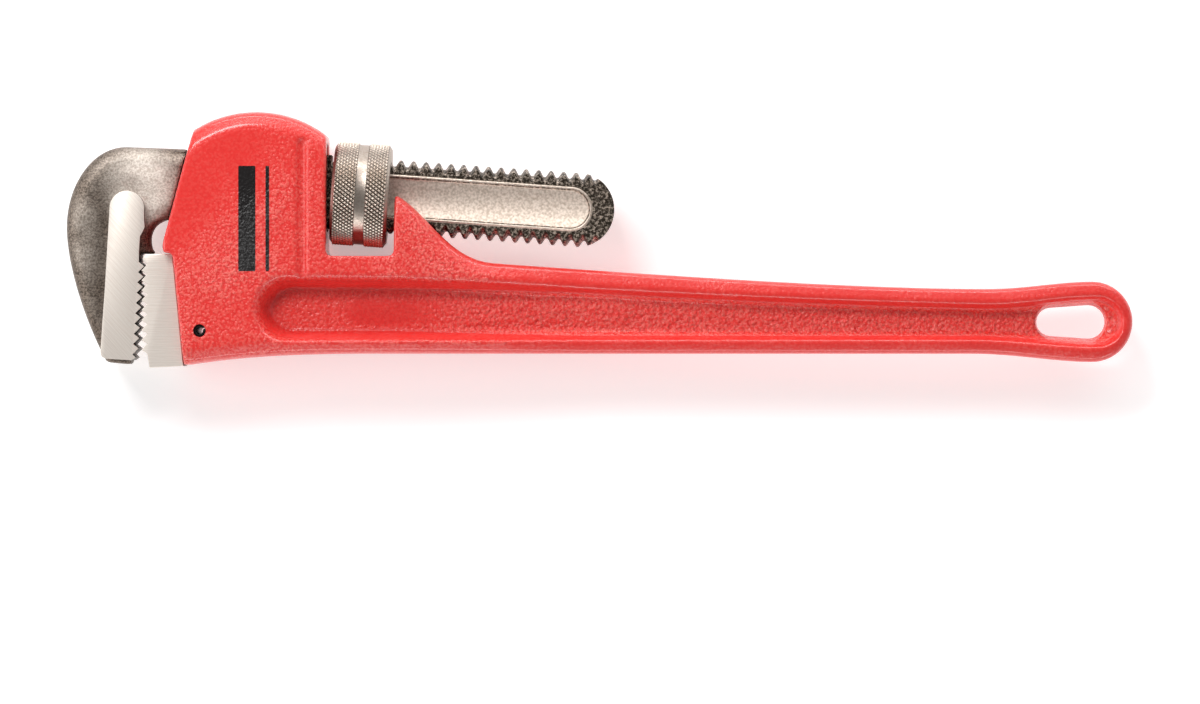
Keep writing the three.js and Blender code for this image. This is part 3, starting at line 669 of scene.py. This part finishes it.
# Ground faces: bright, with fine lines left by the wheel
lines, spot, fineness, result = new_group("grinding_lines", "Lines per metre", ["Height", "Shine"])
stretched = add(lines, "ShaderNodeVectorMath", {0: spot, 1: (0.03, 1.0, 0.03)}, operation="MULTIPLY")
strokes = noise_texture(lines, stretched.outputs[0], fineness, 3.0, 0.7)
lines.links.new(strokes, result["Height"])
lines.links.new(ramp(lines, strokes, 0.3, 0.7), result["Shine"])


def ground_steel(name, turn):
    """Steel ground bright on both flats, with lines at an angle to the X axis, and dark between."""
    material, tree, shader, place = finish(name, 0.5, 0.6)
    turned = add(tree, "ShaderNodeMapping", {"Vector": place, "Rotation": (0, 0, radians(turn))})
    values = {"Place": turned.outputs[0], "Lines per metre": 2600.0}
    stroke = add(tree, "ShaderNodeGroup", values, node_tree=lines)
    tone = blend_colours(tree, stroke.outputs["Shine"], (0.76, 0.68, 0.61, 1), (0.92, 0.84, 0.76, 1))
    on_flat = ramp(tree, off_middle_plane(tree, place), 0.0094, 0.0098)
    tone = blend_colours(tree, on_flat, (0.16, 0.135, 0.115, 1), tone)
    tree.links.new(tone, shader.inputs["Base Color"])
    tree.links.new(ramp(tree, stroke.outputs["Shine"], 0, 1, 0.52, 0.42), shader.inputs["Roughness"])
    relief(tree, shader, stroke.outputs["Height"], 0.00002)
    return material


block_steel = ground_steel("block_ground_steel", 48)

# Forged hook, rounded over all its edges
hook_steps = [
    (0, 1.5), (0.25, 1.9), (0.4, 1.4), (0.6, 1.1), (0.8, 0.85), (0.9, 0.6), (0.9, 0.4), (0.9, 0.25),
]
hook_outline = [(-48, 11.2), (-58, 10.9), (-68, 10.6)]
hook_outline += bow((-78, 10.3), (-88.5, 9.7), (-95.9, -2), (-95.9, -15), 24)
hook_outline += bow((-95.9, -15), (-95.9, -27), (-88.6, -46), (-80, -60), 24)
hook_outline += [(-75.4, -67.5), (-58, -67.5), (-58, -32), (-62, -27)]
hook_outline += bow((-67.0, -23), (-69, -18), (-67.4, -12.7), (-60, -12.3), 18)
hook_outline += [(-54, -12.3), (-48, -12.3)]
hook = as_piece(mirrored(built_up(hook_outline, 0, hook_steps)), "hook_forging")
tip_x, tip_y = -71, -60.9
tip_tool = bar_tool(-100, -90, -50, tip_y, well_clear)
lean(tip_tool, radians(1), (tip_x, tip_y, 0))
combine(hook, as_piece(tip_tool, "tip_tool"), "DIFFERENCE")
tooth_side_tool = bar_tool(-71.1, -90, -40, -24.2, well_clear)
combine(hook, as_piece(tooth_side_tool, "tooth_side_tool"), "DIFFERENCE")
neck_x, neck_y = -62.09, -12.2
neck_tool = bar_tool(neck_x, -60, -20, 60, well_clear)
lean(neck_tool, atan2(front_lean.x, front_lean.y) - shank_tilt, (neck_x, neck_y, 0))
combine(hook, as_piece(neck_tool, "neck_tool"), "DIFFERENCE")

with opened(hook) as bm:
    resize(bm, 0.001)
even_skin(hook, 0.0007, 6)

# Hollow that the dies leave round the block, and the slight waves of a forging
block_top = Vector((-75.8, -9.9))
hollow_depth, hollow_reach = 1.5, 4.2
swell_height, swells_per_mm = 0.35, 0.11
with opened(hook) as bm:
    resize(bm, 1000)
    for vert in bm.verts:
        x, y, z = vert.co
        beside = Vector((x - block_top.x, max(y - block_top.y, 0))).length - 5.6
        hollow = hollow_depth * exp(-((max(beside, 0) / hollow_reach) ** 2))
        swell = swell_height * noise.noise(Vector((x, y, 20 * (z > 0))) * swells_per_mm)
        vert.co.z -= (hollow - swell) * z / hook_half * min(1, abs(z) / 5)
hook.data.materials.clear()
hook.data.materials.append(forged)

# Ground block with its teeth, and a blunt corner below them
tooth_count, tooth_pitch, first_tooth = 9, 3.37, -27.2
tooth_tip, tip_drop = 1.85, 1.28
last_valley = first_tooth - tooth_count * tooth_pitch
block_outline = [(-76.7, -59.5), (-79.4, -59.5), (-80.5, -59.1), (-81.1, -58.2), (-81.2, -57), (-81.2, -36)]
block_outline += arc((-75.85, -9.9), 5.65, 180, 0, 28)
block_outline += [(-70.0, -13.0), (-69.6, -15.7), (-70.3, -17.6), (-70.9, -18.8), (-70.9, -23.8)]
for tooth in range(tooth_count):
    top = first_tooth - tooth_pitch * tooth
    block_outline += [(tooth_line, top), (tooth_line + tooth_tip, top - tip_drop)]
block_outline += [(tooth_line, last_valley), (tooth_line + 1.1, -58.5), (tooth_line - 0.2, -59.5)]
bm = built_up(block_outline, -block_half, [(0, 2 * block_half)])
rims = [e for e in bm.edges if abs(e.verts[0].co.z + e.verts[1].co.z) > 2 * block_half - 0.1]
bmesh.ops.bevel(bm, geom=rims, offset=0.12, affect="EDGES", segments=2, profile=0.5, material=-1)
block = as_piece(bm, "tooth_block")
block.data.materials.append(block_steel)
combine(hook, block, "UNION")


def threaded_rod(start, end, grow, steps=48):
    """A threaded rod along X with round crests. grow makes it larger all over, as a tap."""
    flank = [(0.32, 12.14), (0.62, 11.85), (1.45, 10.4), (1.72, 10.14), (thread_pitch / 2, 10.1)]
    chain = [(-x, r) for x, r in reversed(flank)] + [(0, thread_radius)] + flank
    first = int(start // thread_pitch) - 1
    turns = int(end // thread_pitch) + 2 - first
    bm = bmesh.new()
    ring = [bm.verts.new((first * thread_pitch + x, r + grow, 0)) for x, r in chain]
    edges = [bm.edges.new(pair) for pair in zip(ring, ring[1:])]
    bmesh.ops.spin(
        bm, geom=ring + edges, cent=(0, 0, 0), axis=(1, 0, 0), angle=2 * pi,
        dvec=(thread_pitch / steps, 0, 0), steps=steps, use_merge=False,
    )
    one_turn = bm.verts[:] + bm.edges[:] + bm.faces[:]
    for turn in range(1, turns):
        copy = bmesh.ops.duplicate(bm, geom=one_turn)["geom"]
        moved = [g for g in copy if isinstance(g, bmesh.types.BMVert)]
        bmesh.ops.translate(bm, vec=(turn * thread_pitch, 0, 0), verts=moved)
    bmesh.ops.remove_doubles(bm, verts=bm.verts, dist=0.002)
    bmesh.ops.holes_fill(bm, edges=[e for e in bm.edges if e.is_boundary], sides=0)
    return bm


# Shank: a threaded round bar, flattened on both sides and rounded at its tail
shank_steel, tree, shader, place = finish("shank_steel", 0.45, 0.9)
along = add(tree, "ShaderNodeMapping", {"Vector": place, "Location": -nut_middle}, vector_type="POINT")
turned = add(tree, "ShaderNodeMapping", {"Vector": along.outputs[0], "Rotation": (0, 0, shank_tilt)})
axes = add(tree, "ShaderNodeSeparateXYZ", {0: turned.outputs[0]})
skin_grain = steel_grain(tree, place, 1000.0)
fleck = ramp(tree, skin_grain["Height"], 0.46, 0.66)
rough_tone = blend_colours(tree, fleck, (0.035, 0.027, 0.02, 1), (0.6, 0.49, 0.4, 1))
past_tail_end = maths(tree, "SUBTRACT", axes.outputs["X"], 0.001 * panel_end)
before_start = maths(tree, "MULTIPLY", axes.outputs["X"], -1.0)
past_end = maths(tree, "MAXIMUM", maths(tree, "MAXIMUM", past_tail_end, before_start), 0.0)
squares = [maths(tree, "POWER", off, 2.0) for off in (past_end, maths(tree, "ABSOLUTE", axes.outputs["Y"]))]
from_line = maths(tree, "SQRT", maths(tree, "ADD", *squares))
lip_start, lip_end = ramp(tree, from_line, 0.0064, 0.0067), ramp(tree, from_line, 0.0075, 0.0072)
on_lip = maths(tree, "MULTIPLY", lip_start, lip_end)
in_panel = ramp(tree, from_line, 0.0063, 0.0059)
# Painted highlight: the thread below the flats is flecked with the bright tone, as glints on the thread's
# flanks
on_edge = ramp(tree, maths(tree, "ABSOLUTE", axes.outputs["Z"]), 0.0059, 0.0056, 0.0, 0.55)
flank_glints = maths(tree, "MULTIPLY", on_edge, fleck)
bright = maths(tree, "ADD", maths(tree, "ADD", on_lip, in_panel), flank_glints)
bright = maths(tree, "MINIMUM", bright, 1.0)
stain = noise_texture(tree, place, 1300.0, 3.0)
# Bright tone for the ground panel and its lip, and for the painted glints on the thread
ground_and_glint_tone = blend_colours(tree, ramp(tree, stain, 0.3, 0.75), (0.82, 0.71, 0.62, 1), (0.52, 0.42, 0.34, 1))
tree.links.new(blend_colours(tree, bright, rough_tone, ground_and_glint_tone), shader.inputs["Base Color"])
tree.links.new(ramp(tree, in_panel, 0, 1, 0.45, 0.58), shader.inputs["Roughness"])
rough_skin = maths(tree, "MULTIPLY", skin_grain["Height"], ramp(tree, bright, 0, 1, 1.0, 0.25))
relief(tree, shader, rough_skin, 0.0002)

shank = as_piece(threaded_rod(thread_start, shank_tail, 0), "threaded_bar")
through_shank = [(0, 2 * shank_half)]
tail_middle = shank_tail - thread_radius
past_thread = thread_radius + 1
side_outline = [(thread_start, past_thread), (thread_start, -past_thread), (tail_middle, -past_thread)]
side_outline += arc((tail_middle, 0), thread_radius, -90, 90, 48) + [(tail_middle, past_thread)]
shank_sides = built_up(side_outline, -shank_half, through_shank)
combine(shank, as_piece(shank_sides, "shank_sides"), "INTERSECT")


def panel_outline(grow):
    """The long sunk panel, or a line a little way round it."""
    radius = panel_radius + grow
    return arc((0, 0), radius, 270, 90, 24) + arc((panel_end, 0), radius, 90, -90, 24)


panel_tool = built_up(panel_outline(0), shank_half + 0.5, [(0, 0.6), (0.3, 0.5), (0.5, 0.3)], -1)
combine(shank, as_piece(both_sides(panel_tool), "panel_tool"), "DIFFERENCE")

# In front of the thread the shank is plain
plain_end = thread_start + 0.4
plain_outline = [(-64, -9.2), (-61.5, -thread_radius), (plain_end, -thread_radius)]
plain_outline += [(plain_end, thread_radius), (-51, thread_radius), (-55, 10.4), (-64, 9.2)]
plain_shank = built_up(plain_outline, -shank_half, through_shank)
combine(shank, as_piece(plain_shank, "plain_shank"), "UNION")

# Fine raised lip round each panel
lip_path = bpy.data.curves.new("lip", "CURVE")
lip_path.dimensions = "3D"
lip_path.bevel_depth = 0.42
lip_path.bevel_resolution = 3
for side in (-1, 1):
    spline = lip_path.splines.new("POLY")
    points = panel_outline(0.35)
    spline.points.add(len(points) - 1)
    for point, (x, y) in zip(spline.points, points):
        point.co = (x, y, side * (shank_half - 0.1), 1)
    spline.use_cyclic_u = True
lip = bpy.data.objects.new("lip", lip_path)
scene.collection.objects.link(lip)
lip_mesh = bpy.data.meshes.new_from_object(lip.evaluated_get(bpy.context.evaluated_depsgraph_get()))
bpy.data.objects.remove(lip)
bm = bmesh.new()
bm.from_mesh(lip_mesh)
combine(shank, as_piece(bm, "panel_lip"), "UNION")
shank.data.materials.clear()
shank.data.materials.append(shank_steel)
combine(hook, shank, "UNION")
with opened(hook) as bm:
    bmesh.ops.remove_doubles(bm, verts=bm.verts, dist=0.001)
    in_shank_place(bm)
smooth(hook, 38)
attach(hook, "hook")
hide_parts("hook_jaw")

# ---- Heel jaw and its pin ------------------------------------------------------------------
# A ground tool-steel block with nine teeth, let into the housing's mortise by a tenon and
# held by a slotted spring pin driven through both cheeks.


def machined_copy(node, name, edge, material, body, crease=30):
    """A copy of a frame piece with its facets joined and its edges broken by a small bevel."""
    bm = bmesh.new()
    bm.from_mesh(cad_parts[node].data)
    bmesh.ops.remove_doubles(bm, verts=bm.verts, dist=1e-6)
    bmesh.ops.dissolve_limit(bm, verts=bm.verts, edges=bm.edges, angle_limit=radians(1))
    sharp = [e for e in bm.edges if e.is_manifold and e.calc_face_angle() > radians(crease)]
    bmesh.ops.bevel(
        bm, geom=sharp, offset=edge, affect="EDGES", segments=2, profile=0.5, material=-1,
        clamp_overlap=True,
    )
    piece = as_piece(bm, name)
    piece.data.materials.append(material)
    smooth(piece, crease)
    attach(piece, body)
    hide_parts(node)


heel_steel = ground_steel("heel_ground_steel", 0)
machined_copy("heel_jaw", "heel_jaw_ground", 0.0002, heel_steel, "handle_body")

black_steel, tree, shader, place = finish("blued_spring_steel", 0.32, 0.9)
skin_grain = steel_grain(tree, place, 2500.0)
tone = blend_colours(tree, skin_grain["Specks"], (0.012, 0.011, 0.011, 1), (0.05, 0.047, 0.045, 1))
tree.links.new(tone, shader.inputs["Base Color"])
relief(tree, shader, skin_grain["Height"], 0.00003)
machined_copy("heel_jaw_pin", "slotted_pin", 0.0001, black_steel, "handle_body", 60)

# ---- Adjusting nut -------------------------------------------------------------------------
# A turned steel ring on the shank's thread. Two diamond-knurled bands stand either side of a
# plain groove, and both ends are chamfered.
nut_radius = 17.0
nut_half = 9.3
bore_radius = 9.9
groove_radius = 16.4
chamfer_foot, chamfer_top = 15.5, 16.35
diamonds_round = 78
diamond_length = 1.9
knurl_depth = 0.55
bands = [(-8.2, -1.7), (2.2, 8.2)]

nut_steel, tree, shader, place = finish("turned_nut_steel", 0.36, 1.0)
skin_grain = steel_grain(tree, place, 1800.0)
centred = add(tree, "ShaderNodeVectorMath", {0: place, 1: nut_middle}, operation="SUBTRACT").outputs[0]
on_axis = add(
    tree, "ShaderNodeVectorRotate", {"Vector": centred, "Angle": shank_tilt}, rotation_type="Z_AXIS"
)
axes = add(tree, "ShaderNodeSeparateXYZ", {0: on_axis.outputs[0]})
squares = [maths(tree, "POWER", axes.outputs[axis], 2.0) for axis in "YZ"]
from_axis = maths(tree, "SQRT", maths(tree, "ADD", *squares))
tips = ramp(tree, from_axis, 0.01648, 0.01688)
groove = ramp(tree, from_axis, 0.01652, 0.01642)
worn = maths(tree, "MAXIMUM", tips, maths(tree, "MULTIPLY", groove, 0.45))
bright_tone = blend_colours(tree, skin_grain["Specks"], (0.75, 0.62, 0.53, 1), (1.0, 0.88, 0.77, 1))
tone = blend_colours(tree, worn, (0.07, 0.053, 0.042, 1), bright_tone)
tree.links.new(tone, shader.inputs["Base Color"])
relief(tree, shader, skin_grain["Height"], 0.00005)

# Four stations to a diamond along each band, and four round the ring
quarter = diamond_length / 4
stations = [(nut_half, bore_radius), (nut_half, chamfer_foot), (nut_half - 0.7, chamfer_top)]
for low, high in reversed(bands):
    count = round((high - low) / quarter)
    stations += [(high - quarter * i, nut_radius) for i in range(count + 1)]
    if low > 0:
        stations += [(1.8, 16.45), (1.5, groove_radius), (-1.1, groove_radius), (-1.4, 16.45)]
stations += [(0.7 - nut_half, chamfer_top), (-nut_half, chamfer_foot), (-nut_half, bore_radius)]
bm = bmesh.new()
ring = [bm.verts.new((x, r, 0)) for x, r in stations]
edges = [bm.edges.new(pair) for pair in zip(ring, ring[1:] + ring[:1])]
bmesh.ops.spin(
    bm, geom=ring + edges, cent=(0, 0, 0), axis=(1, 0, 0), angle=2 * pi, steps=4 * diamonds_round,
    use_merge=True,
)
bmesh.ops.remove_doubles(bm, verts=bm.verts, dist=0.001)

# Two sets of slanting cuts sink everything but the diamonds' flat tips
for vert in bm.verts:
    x, y, z = vert.co
    radius = Vector((y, z)).length
    if abs(radius - nut_radius) > 0.02:
        continue
    start = next(high for low, high in bands if low - 0.5 < x < high + 0.5)
    across = (start - x) / diamond_length
    round_it = atan2(z, y) / (2 * pi) * diamonds_round
    ridges = [1 - abs(2 * ((t + 1e-4) % 1) - 1) for t in (across + round_it, across - round_it)]
    lowered = knurl_depth * (1 - min(min(ridges) * 1.25, 1))
    vert.co.y *= (radius - lowered) / radius
    vert.co.z *= (radius - lowered) / radius
nut = as_piece(bm, "knurled_nut")
nut.data.materials.append(nut_steel)
thread_play = 0.3
combine(nut, as_piece(threaded_rod(-nut_half, nut_half, thread_play), "tap"), "DIFFERENCE")
with opened(nut) as bm:
    in_shank_place(bm)
smooth(nut, 28)
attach(nut, "nut")
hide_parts("adjusting_nut")

# ---- Springs in the passage's roof ---------------------------------------------------------
# A flat spring lies on the shank. A coil spring stands on it in a pocket of the housing, kept
# in place by a rivet, and both press the shank down so that the hook stays floating.
machined_copy("flat_spring", "flat_spring_blade", 0.00012, black_steel, "spring_leaf")
machined_copy("spring_rivet", "collar_rivet", 0.00015, nut_steel, "spring_leaf", 40)

coil_turns = 4
coil_radius = 3.2
wire = 0.6
end_gap = 0.3
blade_top = thread_radius + 1.15
coil_low, coil_high = blade_top + end_gap + wire, pocket_roof - end_gap - wire
bm = bmesh.new()
section = bmesh.ops.create_circle(bm, segments=14, radius=wire)["verts"]
bmesh.ops.translate(bm, vec=(coil_radius, 0, 0), verts=section)
start_face = bm.faces.new(section)
steps = coil_turns * 40
bmesh.ops.spin(
    bm, geom=[start_face], cent=(0, 0, 0), axis=(0, 1, 0), angle=2 * pi * coil_turns,
    dvec=(0, (coil_high - coil_low) / steps, 0), steps=steps, use_merge=False,
)
bmesh.ops.translate(bm, vec=(spring_station, coil_low, 0), verts=bm.verts)
in_shank_place(bm)
coil = as_piece(bm, "coil_spring_wire")
coil.data.materials.append(black_steel)
smooth(coil, 60)
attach(coil, "handle_body")
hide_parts("coil_spring")
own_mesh(coil)
